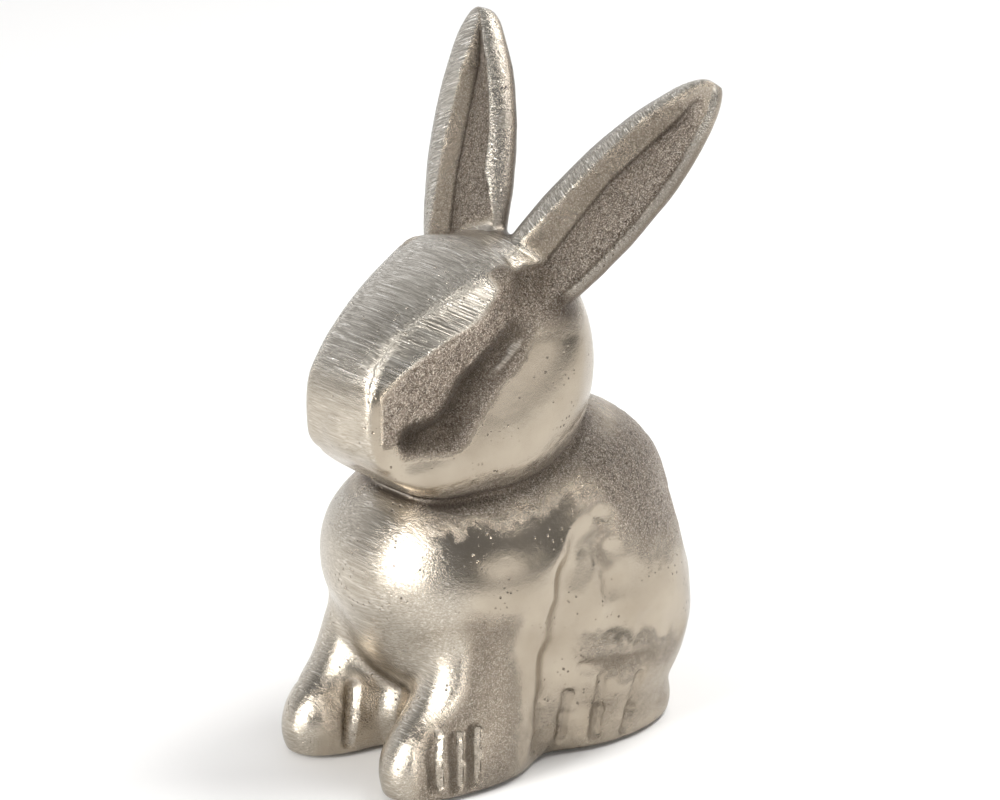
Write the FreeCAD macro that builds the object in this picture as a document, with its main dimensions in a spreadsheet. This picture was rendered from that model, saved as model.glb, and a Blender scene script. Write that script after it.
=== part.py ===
import FreeCAD, Part

import math
import os

from FreeCAD import Matrix, Placement, Rotation, Vector

# A sitting rabbit in cast aluminium, about 210 mm tall.  It faces -Y, its left side is +X, and it
# stands on the XY plane with the origin under its middle.  The body is two hollow half castings
# welded along the median plane.  The ears are separate castings, each with a tenon that is welded
# into the crown.  A plate screwed over the core opening closes the base, and four felt pads keep
# the metal off the table.

os.makedirs("parts", exist_ok=True)
doc = FreeCAD.newDocument("sitting_rabbit")

# Driving dimensions in millimetres, with the side to side ones given for the rabbit's left side.
DIMENSIONS = {
    "wall_thickness": 4.0,
    "seam_width": 2.0,
    "pad_thickness": 1.2,
    "front_pad_radius": 6.0,
    "rear_pad_radius": 6.5,
    "front_pad_across": 22.0,
    "front_pad_along": -46.0,
    "rear_pad_across": 26.0,
    "rear_pad_along": 31.0,
    "plate_thickness": 2.0,
    "plate_half_length": 32.0,
    "plate_half_width": 26.0,
    "plate_clearance": 0.15,
    "opening_half_length": 27.0,
    "opening_half_width": 21.0,
    "screw_across": 17.0,
    "screw_along": 20.0,
    "screw_radius": 1.5,
    "screw_head_radius": 3.0,
    "screw_head_height": 1.6,
    "screw_length": 10.0,
    "screw_clearance": 0.1,
    "boss_radius": 4.5,
    "boss_height": 15.0,
    "ear_base_across": 15.8,
    "ear_base_along": 0.4,
    "ear_base_height": 150.0,
    "ear_tip_across": 50.5,
    "ear_tip_along": 39.5,
    "ear_tip_height": 208.0,
    "ear_half_width": 17.3,
    "ear_half_thickness": 6.8,
    "ear_joint_offset": 8.0,
    "ear_weld_width": 2.0,
    "tenon_radius": 4.5,
    "tenon_length": 14.0,
    "tenon_clearance": 0.1,
    "ear_boss_radius": 10.0,
    "nose_front": -66.0,
    "tail_radius": 11.0,
    "tail_along": 56.5,
    "tail_up": 26.0,
}

# The rounded masses that the figure is modelled from: centre across, along and up, then half
# width, half depth and half height, and the tilt about the X axis in degrees.
MASSES = {
    "belly": (0, 9, 48, 42, 48.5, 52, 0),
    "shoulders": (0, 12, 74, 37, 42, 28, 0),
    "chest": (0, -20, 61, 42, 38, 33, 0),
    "haunch": (22, 22, 38, 21.5, 31, 38, 0),
    "seat": (0, 0, 12, 34, 43, 26, 0),
    "breast_web": (0, -29, 44, 24, 23, 22, 0),
    "foreleg": (22, -28, 24, 17, 22, 32, 0),
    "forepaw": (22, -39, 10, 15.5, 28, 19.5, 10),
    "hind_foot": (22, 18, 5, 17, 29, 20, 0),
    "cheeks": (0, -15, 113, 34.5, 39.5, 35, 0),
    "skull": (0, -7, 126, 34.5, 31, 33, 0),
    "jowls": (0, -38, 100, 24, 28.5, 13, 0),
    "muzzle": (0, -42, 109, 15, 27, 17, -12),
    "ear_recess": (2.5, 7.6, 0, 12, 5, 31, 0),
}
MASS_TERMS = ("across", "along", "up", "half_width", "half_depth", "half_height", "tilt")


def fill_sheet():
    """Write every driving dimension into the spreadsheet, and read all of them back by alias."""
    rows = dict(DIMENSIONS)
    for mass, values in MASSES.items():
        for term, value in zip(MASS_TERMS, values):
            rows[mass + "_" + term] = value
    sheet = doc.addObject("Spreadsheet::Sheet", "sizes")
    for row, (alias, value) in enumerate(rows.items(), start=1):
        sheet.set("A%d" % row, alias)
        sheet.set("B%d" % row, str(value))
        sheet.setAlias("B%d" % row, alias)
    doc.recompute()
    return {alias: float(sheet.get(alias)) for alias in rows}


size = fill_sheet()


# ---- Forms: softly joined masses, trimmed by flats and grooves ---------------------------------


def mass_distance(name, x, y, z):
    """Distance from a point to a mass's surface, negative inside it."""
    cx, cy, cz, rx, ry, rz, tilt = [size[name + "_" + term] for term in MASS_TERMS]
    turn = math.radians(tilt)
    dx, dy, dz = x - cx, y - cy, z - cz
    dy, dz = math.cos(turn) * dy + math.sin(turn) * dz, math.cos(turn) * dz - math.sin(turn) * dy
    scaled = math.hypot(dx / rx, dy / ry, dz / rz)
    slope = math.hypot(dx / rx**2, dy / ry**2, dz / rz**2)
    return scaled * (scaled - 1.0) / max(slope, 1e-9)


def soft_union(first, second, blend):
    """The nearer of two distances, rounded off where they are within the blend of each other."""
    closeness = max(blend - abs(first - second), 0.0) / blend
    return min(first, second) - closeness * closeness * blend / 4.0


def soft_overlap(first, second, blend):
    """The farther of two distances, rounded off in the same way."""
    return -soft_union(-first, -second, blend)


def flat_distance(point, normal, x, y, z):
    """Distance of a point in front of a flat."""
    facing = Vector(*normal).normalize()
    return facing.dot(Vector(x, y, z) - Vector(*point))


def groove_distance(start, end, radius, x, y, z):
    """Distance from a point to a round bar between two points, which scoops out a groove."""
    run = Vector(*end) - Vector(*start)
    reach = Vector(x, y, z) - Vector(*start)
    share = min(max(reach.dot(run) / run.dot(run), 0.0), 1.0)
    return (reach - run * share).Length - radius


def torso_form(x, y, z):
    """Belly, shoulders, chest, haunches, seat and the web that joins the forelegs to the breast."""
    x = abs(x)
    shape = mass_distance("belly", x, y, z)
    joined = (
        ("shoulders", 12.0),
        ("chest", 10.0),
        ("haunch", 10.0),
        ("seat", 6.0),
        ("breast_web", 6.0),
    )
    for mass, blend in joined:
        shape = soft_union(shape, mass_distance(mass, x, y, z), blend)
    return shape


def foreleg_form(x, y, z):
    """The left foreleg running down into its paw."""
    return soft_union(mass_distance("foreleg", x, y, z), mass_distance("forepaw", x, y, z), 9.0)


def hind_foot_form(x, y, z):
    """The left hind foot, beside the haunch."""
    return mass_distance("hind_foot", x, y, z)


def crown_form(x, y, z, rise):
    """The domed crown: level behind, sloping forward, then rolling over into the flat of the nose."""
    ball = 0.006 * x * x - rise
    slope = flat_distance((0, -30.3, 154.6), (0, -0.387, 1), x, y, z) + ball
    brink = flat_distance((0, -61.5, 138.2), (0, -0.75, 1), x, y, z) + ball
    rear = flat_distance((0, -8, 161), (0, 0.46, 1), x, y, z) + ball
    nose = -67.3 - y + 0.014 * (z - 117.0) ** 2 + 0.005 * x * x
    return soft_overlap(soft_overlap(soft_overlap(slope, brink, 5.0), rear, 10.0), nose, 8.0)


def brow_form(x, y, z):
    """The wedge between the eye recesses: crown, bevels, side walls, back and underside."""
    rear_bevel = flat_distance((20.6, -31.2, 149.3), (0.653, -0.365, 0.663), x, y, z)
    front_bevel = flat_distance((14.4, -57.5, 134.7), (0.711, -0.553, 0.435), x, y, z)
    rear_wall = flat_distance((23.8, -25.3, 150), (0.967, 0, 0.254), x, y, z)
    front_wall = flat_distance((22.5, -40.4, 140), (0.965, -0.263, 0), x, y, z)
    back = flat_distance((0, -3, 140), (0.40, 1, 0.1), x, y, z)
    underside = flat_distance((0, -30, 100), (0, 0, -1), x, y, z)
    wedge = soft_overlap(crown_form(x, y, z, 0.0), soft_overlap(rear_bevel, front_bevel, 5.0), 2.0)
    wedge = soft_overlap(wedge, soft_overlap(rear_wall, front_wall, 2.0), 1.4)
    return soft_overlap(soft_overlap(wedge, back, 5.0), underside, 6.0)


# The valley between brow and cheek, as stops along the axis of the round bar that hollows it out.
EYE_VALLEY = ((21, -52.5, 114), (23.3, -44, 116), (25.2, -37, 128), (29.3, -22, 141), (31, -15.5, 149))


def head_form(x, y, z):
    """Cheeks, skull, jowls, muzzle and brow, with the ground flats and the eye valley cut in."""
    x = abs(x)
    shape = soft_union(mass_distance("cheeks", x, y, z), mass_distance("skull", x, y, z), 8.0)
    temple = flat_distance((30.5, -19.6, 130), (0.85, -0.406, 0.336), x, y, z)
    shape = soft_overlap(shape, temple, 8.0)
    shape = soft_union(shape, mass_distance("jowls", x, y, z), 7.0)
    shape = soft_union(shape, mass_distance("muzzle", x, y, z), 5.0)
    shape = soft_union(shape, brow_form(x, y, z), 1.5)
    for start, end in zip(EYE_VALLEY, EYE_VALLEY[1:]):
        shape = soft_overlap(shape, -groove_distance(start, end, 4.0, x, y, z), 3.0)
    shape = soft_overlap(shape, crown_form(x, y, z, 1.5), 3.0)
    nose_side = flat_distance((16.3, -63.5, 112), (0.90, -0.43, 0), x, y, z)
    shape = soft_overlap(shape, nose_side, 3.0)
    return soft_overlap(shape, flat_distance((16, -60, 101), (0, -0.75, -1), x, y, z), 4.0)


# ---- Solids traced from the forms --------------------------------------------------------------

SECTION_POINTS = 48
TRACE_STEP = 1.5
TRACE_HALVINGS = 14


def trace(form, centre, direction, level):
    """The point along a ray from the centre where the form's distance first passes the level."""
    far = 0.0
    while form(*(centre + direction * far)) < level:
        far += TRACE_STEP
    near = max(far - TRACE_STEP, 0.0)
    for _ in range(TRACE_HALVINGS):
        middle = (near + far) / 2.0
        if form(*(centre + direction * middle)) < level:
            near = middle
        else:
            far = middle
    return centre + direction * near


def closed_curve(points):
    """A smooth closed wire through the points, with evenly spaced parameters."""
    count = len(points)
    curve = Part.BSplineCurve()
    curve.interpolate(
        Points=points,
        PeriodicFlag=True,
        Parameters=[index / count for index in range(count + 1)],
    )
    return Part.Wire([curve.toShape()])


def section(form, centre, first, second, level):
    """A closed section of a form about a centre, in the plane of two unit directions."""
    points = []
    for index in range(SECTION_POINTS):
        turn = 2.0 * math.pi * index / SECTION_POINTS
        points.append(trace(form, centre, first * math.cos(turn) + second * math.sin(turn), level))
    return closed_curve(points)


ACROSS = Vector(1, 0, 0)
ALONG = Vector(0, 1, 0)
UP = Vector(0, 0, 1)
RIGHTWARD = Vector(-1, 0, 0)


def stack_heights(low, high, count):
    """Heights between two levels, closer together towards both ends."""
    middle, half = (low + high) / 2.0, (high - low) / 2.0
    return [middle - half * math.cos(math.pi * index / (count - 1)) for index in range(count)]


def standing_loft(form, low, high, count, centre_at, level=0.0):
    """A solid through horizontal sections; centre_at gives each section's centre by height."""
    wires = []
    for height in stack_heights(low, high, count):
        wires.append(section(form, centre_at(height), RIGHTWARD, ALONG, level))
    return Part.makeLoft(wires, True)


def lying_loft(form, front, back, count, height, level=0.0):
    """A solid through upright sections from front to back, with a flat at each end."""
    wires = []
    for along in stack_heights(front, back, count):
        wires.append(section(form, Vector(0, along, height), RIGHTWARD, UP, level))
    return Part.makeLoft(wires, True)


def mirrored(shape):
    """The same piece on the rabbit's other side."""
    return shape.mirror(Vector(0, 0, 0), ACROSS)


def box_between(low, high):
    """A box from its lowest corner to its highest."""
    return Part.makeBox(high.x - low.x, high.y - low.y, high.z - low.z, low)


def oval_prism(half_width, half_length, low, high):
    """An upright oval prism about the Z axis, longer from front to back."""
    oval = Part.Ellipse(Vector(0, half_length, low), Vector(half_width, 0, low), Vector(0, 0, low))
    return Part.Face(Part.Wire([oval.toShape()])).extrude(Vector(0, 0, high - low))


# ---- Body castings and the seam weld -----------------------------------------------------------


def ear_frame():
    """The left ear's base point, its direction, its front normal and its sideways direction."""
    base = Vector(size["ear_base_across"], size["ear_base_along"], size["ear_base_height"])
    tip = Vector(size["ear_tip_across"], size["ear_tip_along"], size["ear_tip_height"])
    direction = (tip - base).normalize()
    normal = Vector(0.1, -0.825, 0.565)
    normal = (normal - direction * normal.dot(direction)).normalize()
    return base, direction, normal, direction.cross(normal), (tip - base).Length


EAR_BASE, EAR_DIRECTION, EAR_NORMAL, EAR_SIDE, EAR_LENGTH = ear_frame()


def ear_outline(distance):
    """A leaf's half width and half thickness at a distance up the ear from its base point."""
    root_depth = 10.0
    remaining = (EAR_LENGTH - distance) / (EAR_LENGTH + root_depth)
    tip_share = min(remaining / 0.62, 1.0)
    bluntness = 0.5 + 0.12 * min(tip_share / 0.3, 1.0)
    fullness = (1.0 - (1.0 - tip_share) ** 2.0) ** bluntness
    waist = 1.0 - 0.2 * max((remaining - 0.68) / 0.32, 0.0) ** 1.5
    thinness = 0.45 + 0.55 * min(remaining / 0.25, 1.0) ** 0.6
    return size["ear_half_width"] * fullness * waist, size["ear_half_thickness"] * thinness


def ear_section(distance):
    """An oval section of the left ear, square to its direction."""
    half_width, half_thickness = ear_outline(distance)
    centre = EAR_BASE + EAR_DIRECTION * distance
    points = []
    for index in range(24):
        turn = 2.0 * math.pi * index / 24
        sideways = EAR_SIDE * (half_width * math.cos(turn))
        points.append(centre + sideways + EAR_NORMAL * (half_thickness * math.sin(turn)))
    return closed_curve(points)


def ear_leaf(start):
    """The left ear as a solid leaf from a distance up its axis to its tip."""
    last = EAR_LENGTH - 0.6
    distances = [start + (last - start) * math.sin(math.pi / 2 * step / 11) for step in range(12)]
    wires = [ear_section(distance) for distance in distances]
    tip = Part.Vertex(EAR_BASE + EAR_DIRECTION * EAR_LENGTH)
    return Part.makeLoft(wires + [tip], True)


def ear_cylinder(radius, start, end):
    """A round bar along the left ear's axis."""
    return Part.makeCylinder(radius, end - start, EAR_BASE + EAR_DIRECTION * start, EAR_DIRECTION)


def torso_centre(height):
    return Vector(0, 0, height)


def foreleg_centre(height):
    """The foreleg leans back as it rises out of the paw."""
    return Vector(size["foreleg_across"], size["forepaw_along"] + 0.3 * height, height)


def hind_foot_centre(height):
    return Vector(size["hind_foot_across"], size["hind_foot_along"], height)


def left_part(shape):
    """What lies on the left of the seam."""
    return shape.common(box_between(Vector(size["seam_width"] / 2.0, -90, -5), Vector(90, 90, 230)))


def left_outside():
    """The outer form left of the seam: torso, head, feet, tail and the stub under the ear."""
    base = size["pad_thickness"]
    tail_middle = Vector(0, size["tail_along"], size["tail_up"])
    stub = ear_leaf(-6.0).cut(ear_cylinder(60.0, size["ear_joint_offset"], EAR_LENGTH + 5.0))
    pieces = [
        left_part(lying_loft(head_form, size["nose_front"], 24.5, 17, 120.0)),
        left_part(Part.makeSphere(size["tail_radius"], tail_middle)),
        standing_loft(foreleg_form, base, 47.0, 11, foreleg_centre),
        standing_loft(hind_foot_form, base, 22.0, 7, hind_foot_centre),
        stub,
    ]
    return left_part(standing_loft(torso_form, base, 99.0, 17, torso_centre)).multiFuse(pieces)


def screw_places():
    """The four screws through the base plate, as points on the XY plane."""
    across, along = size["screw_across"], size["screw_along"]
    return [Vector(x, y, 0) for x in (across, -across) for y in (along, -along)]


def figure_core():
    """The sand core: the space inside the walls, with the bosses for screws and ears left in."""
    wall = size["wall_thickness"]
    floor_top = size["pad_thickness"] + wall
    torso = standing_loft(torso_form, floor_top, 94.0, 13, torso_centre, -wall)
    head = lying_loft(head_form, size["nose_front"] + 7.0, 15.0, 13, 119.0, -wall)
    core = torso.fuse(head)
    bosses = [
        Part.makeCylinder(size["boss_radius"], size["boss_height"], place)
        for place in screw_places()
    ]
    ear_boss = ear_cylinder(size["ear_boss_radius"], -14.0, 10.0)
    return core.cut(bosses + [ear_boss, mirrored(ear_boss)])


def base_opening():
    """The core opening in the floor and the rebate around it that the base plate sits in."""
    base = size["pad_thickness"]
    ledge = base + size["plate_thickness"]
    floor_top = base + size["wall_thickness"] + 1.0
    opening = oval_prism(
        size["opening_half_width"], size["opening_half_length"], base - 1.0, floor_top
    )
    bosses = [Part.makeCylinder(size["boss_radius"], floor_top + 1.0, p) for p in screw_places()]
    gap = size["plate_clearance"]
    rebate = oval_prism(
        size["plate_half_width"] + gap, size["plate_half_length"] + gap, base - 1.0, ledge
    )
    holes = [
        Part.makeCylinder(size["screw_radius"] + size["screw_clearance"], 13.0, place)
        for place in screw_places()
    ]
    return opening.cut(bosses).multiFuse([rebate] + holes)


def left_shell():
    """The hollow left half with its share of the base opening and its ear socket."""
    socket = ear_cylinder(
        size["tenon_radius"] + size["tenon_clearance"],
        size["ear_joint_offset"] - size["tenon_length"] - 0.5,
        size["ear_joint_offset"] + 1.0,
    )
    return left_outside().cut(figure_core()).cut([base_opening(), socket])


def keep_feature(name, shape):
    """Put a computed shape into the document as a sub-part."""
    feature = doc.addObject("Part::Feature", name)
    feature.Label = name
    feature.Shape = shape
    feature.Placement = Placement()
    return feature


def one_solid(shape):
    """The largest solid of a result, which has no other solid worth keeping."""
    return max(shape.Solids, key=lambda solid: solid.Volume)


def seam_from(half):
    """The weld between the halves: the half's wall, where it meets the seam, carried across."""
    half_seam = size["seam_width"] / 2.0
    meeting = [face for face in half.Faces if abs(face.BoundBox.XMax - half_seam) < 1e-4]
    flat = [face for face in meeting if face.BoundBox.XLength < 1e-4]
    strips = [face.extrude(RIGHTWARD * size["seam_width"]) for face in flat]
    if len(strips) == 1:
        return strips[0]
    return strips[0].multiFuse(strips[1:]).removeSplitter()


def build_body():
    """The two half castings and the weld that fills the seam between them."""
    left = one_solid(left_shell())
    return [
        keep_feature("left_body_casting", left),
        keep_feature("right_body_casting", mirrored(left)),
        keep_feature("seam_weld", seam_from(left)),
    ]


# ---- Ears --------------------------------------------------------------------------------------


def ear_recess():
    """The shallow spoon-shaped hollow in the front face of the left ear."""
    values = [size["ear_recess_" + term] for term in MASS_TERMS]
    stretch = Matrix()
    stretch.scale(values[3], values[4], values[5])
    hollow = Part.makeSphere(1.0).transformGeometry(stretch)
    axes = Matrix(
        EAR_SIDE.x, EAR_NORMAL.x, EAR_DIRECTION.x, 0,
        EAR_SIDE.y, EAR_NORMAL.y, EAR_DIRECTION.y, 0,
        EAR_SIDE.z, EAR_NORMAL.z, EAR_DIRECTION.z, 0,
        0, 0, 0, 1,
    )
    middle = EAR_BASE + EAR_DIRECTION * (EAR_LENGTH / 2.0)
    middle += EAR_SIDE * values[0] + EAR_NORMAL * values[1]
    hollow.Placement = Placement(middle, Rotation(axes))
    return hollow


def build_ears():
    """Each ear with its tenon, and the ring of weld that fills the joint around the tenon."""
    joint = size["ear_joint_offset"]
    weld_top = joint + size["ear_weld_width"]
    leaf = ear_leaf(-6.0)
    tenon = ear_cylinder(size["tenon_radius"], joint - size["tenon_length"], weld_top + 1.0)
    above = leaf.cut(ear_cylinder(60.0, -12.0, weld_top))
    ear = one_solid(above.cut(ear_recess()).fuse(tenon))
    ring = leaf.common(ear_cylinder(60.0, joint, weld_top)).cut(tenon)
    return [
        keep_feature("left_ear_casting", ear),
        keep_feature("right_ear_casting", mirrored(ear)),
        keep_feature("left_ear_weld", one_solid(ring)),
        keep_feature("right_ear_weld", mirrored(one_solid(ring))),
    ]


# ---- Base plate, screws and pads ---------------------------------------------------------------


def bind(feature, **bindings):
    """Bind a feature's properties to expressions over the sheet."""
    for name, expression in bindings.items():
        feature.setExpression(name, expression)
    return feature


def build_base_plate():
    """The oval cover plate with four countersunk holes."""
    oval = doc.addObject("Part::Ellipse", "plate_outline")
    oval.Placement = Placement(Vector(0, 0, 0), Rotation(UP, 90))
    bind(oval, MajorRadius="sizes.plate_half_length", MinorRadius="sizes.plate_half_width")
    oval.setExpression("Placement.Base.z", "sizes.pad_thickness")
    blank = doc.addObject("Part::Extrusion", "plate_blank")
    blank.Base = oval
    blank.DirMode = "Custom"
    blank.Dir = UP
    blank.Solid = True
    bind(blank, LengthFwd="sizes.plate_thickness")
    cuts = []
    for number, place in enumerate(screw_places(), start=1):
        hole = doc.addObject("Part::Cylinder", "plate_hole_%d" % number)
        hole.Placement = Placement(place, Rotation())
        bind(hole, Radius="sizes.screw_radius + sizes.screw_clearance", Height="20 mm")
        sink = doc.addObject("Part::Cone", "plate_countersink_%d" % number)
        sink.Placement = Placement(place, Rotation())
        sink.setExpression("Placement.Base.z", "sizes.pad_thickness")
        bind(
            sink,
            Radius1="sizes.screw_head_radius + sizes.screw_clearance",
            Radius2="sizes.screw_radius + sizes.screw_clearance",
            Height="sizes.screw_head_height",
        )
        cuts += [hole, sink]
    tool = doc.addObject("Part::MultiFuse", "plate_cuts")
    tool.Shapes = cuts
    plate = doc.addObject("Part::Cut", "base_plate")
    plate.Label = "base_plate"
    plate.Base = blank
    plate.Tool = tool
    return [plate]


def build_screws():
    """Four countersunk screws, one node because they are the same."""
    screws = []
    for number, place in enumerate(screw_places(), start=1):
        head = doc.addObject("Part::Cone", "screw_head_%d" % number)
        shank = doc.addObject("Part::Cylinder", "screw_shank_%d" % number)
        bind(
            head,
            Radius1="sizes.screw_head_radius",
            Radius2="sizes.screw_radius",
            Height="sizes.screw_head_height",
        )
        bind(shank, Radius="sizes.screw_radius", Height="sizes.screw_length")
        screw = doc.addObject("Part::Fuse", "screw_%d" % number)
        screw.Base = head
        screw.Tool = shank
        screw.Placement = Placement(place, Rotation())
        screw.setExpression("Placement.Base.z", "sizes.pad_thickness")
        screws.append(screw)
    group = doc.addObject("Part::Compound", "base_plate_screws")
    group.Label = "base_plate_screws"
    group.Links = screws
    return [group]


def build_pads():
    """Four round felt pads, one under each foot."""
    pads = []
    for end in ("front", "rear"):
        for side, sign in (("left", 1), ("right", -1)):
            pad = doc.addObject("Part::Cylinder", "%s_%s_pad" % (end, side))
            pad.Label = "%s_%s_pad" % (end, side)
            pad.setExpression("Placement.Base.x", "%d * sizes.%s_pad_across" % (sign, end))
            pad.setExpression("Placement.Base.y", "sizes.%s_pad_along" % end)
            bind(pad, Radius="sizes.%s_pad_radius" % end, Height="sizes.pad_thickness")
            pads.append(pad)
    return pads


# ---- Build, check and write --------------------------------------------------------------------


def check(parts):
    """Stop if any object failed, or if any sub-part's shape is missing or invalid."""
    for item in doc.Objects:
        if "Invalid" in item.State or "Error" in item.State:
            raise RuntimeError("%s failed: %s" % (item.Label, item.State))
    for part in parts:
        if part.Shape.isNull() or not part.Shape.isValid():
            raise RuntimeError("%s has no valid shape" % part.Label)


def main():
    parts = build_body() + build_ears() + build_base_plate() + build_screws() + build_pads()
    doc.recompute()
    check(parts)
    for part in parts:
        part.Shape.exportStep(os.path.join("parts", part.Label + ".step"))
        bounds = part.Shape.BoundBox
        print("%-20s %8.0f mm3  z %.1f to %.1f" % (part.Label, part.Shape.Volume, bounds.ZMin, bounds.ZMax))


main()
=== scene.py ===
import math

import bmesh
import bpy
import numpy as np
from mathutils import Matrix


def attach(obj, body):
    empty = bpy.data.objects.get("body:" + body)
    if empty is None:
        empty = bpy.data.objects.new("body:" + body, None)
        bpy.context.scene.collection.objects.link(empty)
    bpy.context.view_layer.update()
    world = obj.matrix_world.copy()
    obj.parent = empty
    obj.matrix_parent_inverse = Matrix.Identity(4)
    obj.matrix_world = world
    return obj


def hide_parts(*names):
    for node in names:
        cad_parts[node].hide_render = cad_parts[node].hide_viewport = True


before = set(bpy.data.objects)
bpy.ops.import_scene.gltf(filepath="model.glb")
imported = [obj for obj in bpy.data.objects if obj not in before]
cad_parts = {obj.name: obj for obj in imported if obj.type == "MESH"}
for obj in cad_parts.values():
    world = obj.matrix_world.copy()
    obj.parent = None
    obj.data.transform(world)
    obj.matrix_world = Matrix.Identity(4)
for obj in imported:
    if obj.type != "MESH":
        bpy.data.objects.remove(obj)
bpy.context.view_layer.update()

import openvdb
from mathutils import Vector

# A sitting rabbit ornament in cast aluminium with a raw nickel finish.  The figure is one smooth
# form, worked out in millimetres as a distance field, meshed, given its cast grain, and then cut
# along the joints of the real object into castings and welds.  It faces -Y and its left is +X.

MM = 0.001

# Where the castings and welds meet, in millimetres: the height of the underside above the floor,
# half the width of the seam weld, how far up each ear its weld starts, and the weld's length.
BASE = 1.2
SEAM_HALF = 1.0
EAR_JOINT = 8.0
EAR_WELD = 2.0


# ---- Distance fields ----------------------------------------------------------------------------


def ellipsoid(points, centre, radii, tilt=0.0):
    """Distance to an ellipsoid tilted about X by degrees."""
    q = points - np.array(centre, np.float32)
    if tilt:
        turn = math.radians(tilt)
        y = math.cos(turn) * q[:, 1] + math.sin(turn) * q[:, 2]
        z = math.cos(turn) * q[:, 2] - math.sin(turn) * q[:, 1]
        q = np.stack([q[:, 0], y, z], axis=1)
    radii = np.array(radii, np.float32)
    scaled = np.sqrt(((q / radii) ** 2).sum(1))
    slope = np.sqrt(((q / radii**2) ** 2).sum(1)) + 1e-9
    return scaled * (scaled - 1.0) / slope


def flat(points, through, normal):
    """Distance in front of a flat."""
    normal = np.array(normal, np.float32)
    return (points - np.array(through, np.float32)) @ (normal / np.linalg.norm(normal))


def bar(points, start, end, radius):
    """Distance to a round bar between two points."""
    start = np.array(start, np.float32)
    run = np.array(end, np.float32) - start
    share = np.clip(((points - start) @ run) / (run @ run), 0.0, 1.0)
    return np.linalg.norm(points - start - share[:, None] * run, axis=1) - radius


def join(first, second, blend):
    """Both shapes as one, with a fillet about as wide as the blend."""
    nearness = np.maximum(blend - np.abs(first - second), 0.0) / blend
    return np.minimum(first, second) - nearness * nearness * blend / 4.0


def trim(first, second, blend):
    """What the two shapes share, with its edge rounded by the blend."""
    return -join(-first, -second, blend)


def cut_line(shape, points, stops, radius, blend):
    """The shape with a groove along a row of stops, cut by a round bar."""
    for start, end in zip(stops, stops[1:]):
        shape = trim(shape, -bar(points, start, end, radius), blend)
    return shape


def step(low, high, value):
    """A smooth rise from 0 at low to 1 at high, where high may be the smaller of the two."""
    share = np.clip((value - low) / (high - low), 0.0, 1.0)
    return share * share * (3.0 - 2.0 * share)


# ---- The rabbit's form ---------------------------------------------------------------------------


def mirrored_to_left(points):
    """The same points with every one moved to the rabbit's left side, where the form is given."""
    q = points.copy()
    q[:, 0] = np.abs(q[:, 0])
    return q


def torso(q):
    """Belly, upper back, chest, haunch and the low middle between the legs."""
    shape = ellipsoid(q, (0, 9, 48), (42, 48.5, 52))
    shape = join(shape, ellipsoid(q, (0, 12, 74), (37, 42, 28)), 12.0)
    shape = join(shape, ellipsoid(q, (0, -20, 61), (42, 38, 33)), 10.0)
    shape = join(shape, ellipsoid(q, (22, 22, 38), (21.5, 31, 38)), 10.0)
    return join(shape, ellipsoid(q, (0, 0, 12), (34, 43, 26)), 6.0)


# The grooves of the left side, each as stops along the bar that cuts it: the haunch's front edge
# down to the floor, the fold within it, the crease between haunch and hind foot, the line along
# that foot's top, and the gaps between the toes, of which four are on the forepaw.
HAUNCH_FRONT = (
    (44, 4, 76.5),
    (44.5, -2, 72.5),
    (46, -9, 63),
    (45.5, -12, 50),
    (42, -13, 36),
    (40, -14, 21),
    (39.5, -15.5, 9),
)
HAUNCH_FOLD = ((44, 4, 76.5), (45.5, 5.5, 66), (47, 6.5, 55), (48, 8.5, 44))
FOOT_CREASE = ((45.5, -3.5, 43.5), (48, 8, 42.5), (48.5, 21, 38), (45, 38.5, 31))
FOOT_TOP = ((41, -2.5, 30), (43.5, 8, 28), (45, 22, 28))
TOE_GROOVES = (
    ((11, -51, 22), (9, -53.5, 14), (9, -54.5, 5)),
    ((31, -55, 21), (33, -57.5, 15), (34, -57.5, 6)),
    ((34.5, -50, 20.5), (36, -51, 14), (36, -51, 5)),
    ((36.5, -44.5, 21.5), (37.5, -45.5, 14.5), (37.5, -45.5, 5)),
    ((36, -5.5, 21), (35, -6.5, 14), (34, -6.5, 7)),
    ((41, 4.5, 25), (37.5, 5.5, 13), (37.5, 4.5, 5)),
    ((42.5, 19, 22), (39.5, 18, 10), (39.5, 15.5, 4)),
)
TOE_RADIUS = 1.8
TOE_BLEND = 1.6
# Every groove with its bar's radius and the blend at its edges, in the order they are cut.
GROOVES = (
    (HAUNCH_FRONT, 6.0, 4.0),
    (HAUNCH_FOLD, 5.0, 3.0),
    (FOOT_CREASE, 5.0, 4.0),
    (FOOT_TOP, 2.4, 3.0),
    *((stops, TOE_RADIUS, TOE_BLEND) for stops in TOE_GROOVES),
)


def body(q):
    """Torso, foreleg with its paw, breast, hind foot and tail, with their grooves."""
    leg = ellipsoid(q, (22, -28, 24), (17, 22, 32))
    leg = join(leg, ellipsoid(q, (22, -39, 10), (15.5, 28, 19.5), 10.0), 9.0)
    shape = join(torso(q), leg, 7.0)
    shape = join(shape, ellipsoid(q, (0, -29, 44), (24, 23, 22)), 6.0)
    shape = join(shape, ellipsoid(q, (22, 18, 5), (17, 29, 20)), 4.0)
    shape = join(shape, ellipsoid(q, (0, 56.5, 26), (11, 11, 11)), 3.0)
    for stops, radius, blend in GROOVES:
        shape = cut_line(shape, q, stops, radius, blend)
    return shape


# A point on each of the two narrow flats between crown and brow wall, and its normal.
REAR_BEVEL = ((20.6, -31.2, 149.3), (0.653, -0.365, 0.663))
FRONT_BEVEL = ((14.4, -57.5, 134.7), (0.711, -0.553, 0.435))


def bevels(q):
    """Distance in front of the two flats, with the edge between them rounded."""
    return trim(flat(q, *REAR_BEVEL), flat(q, *FRONT_BEVEL), 5.0)


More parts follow.
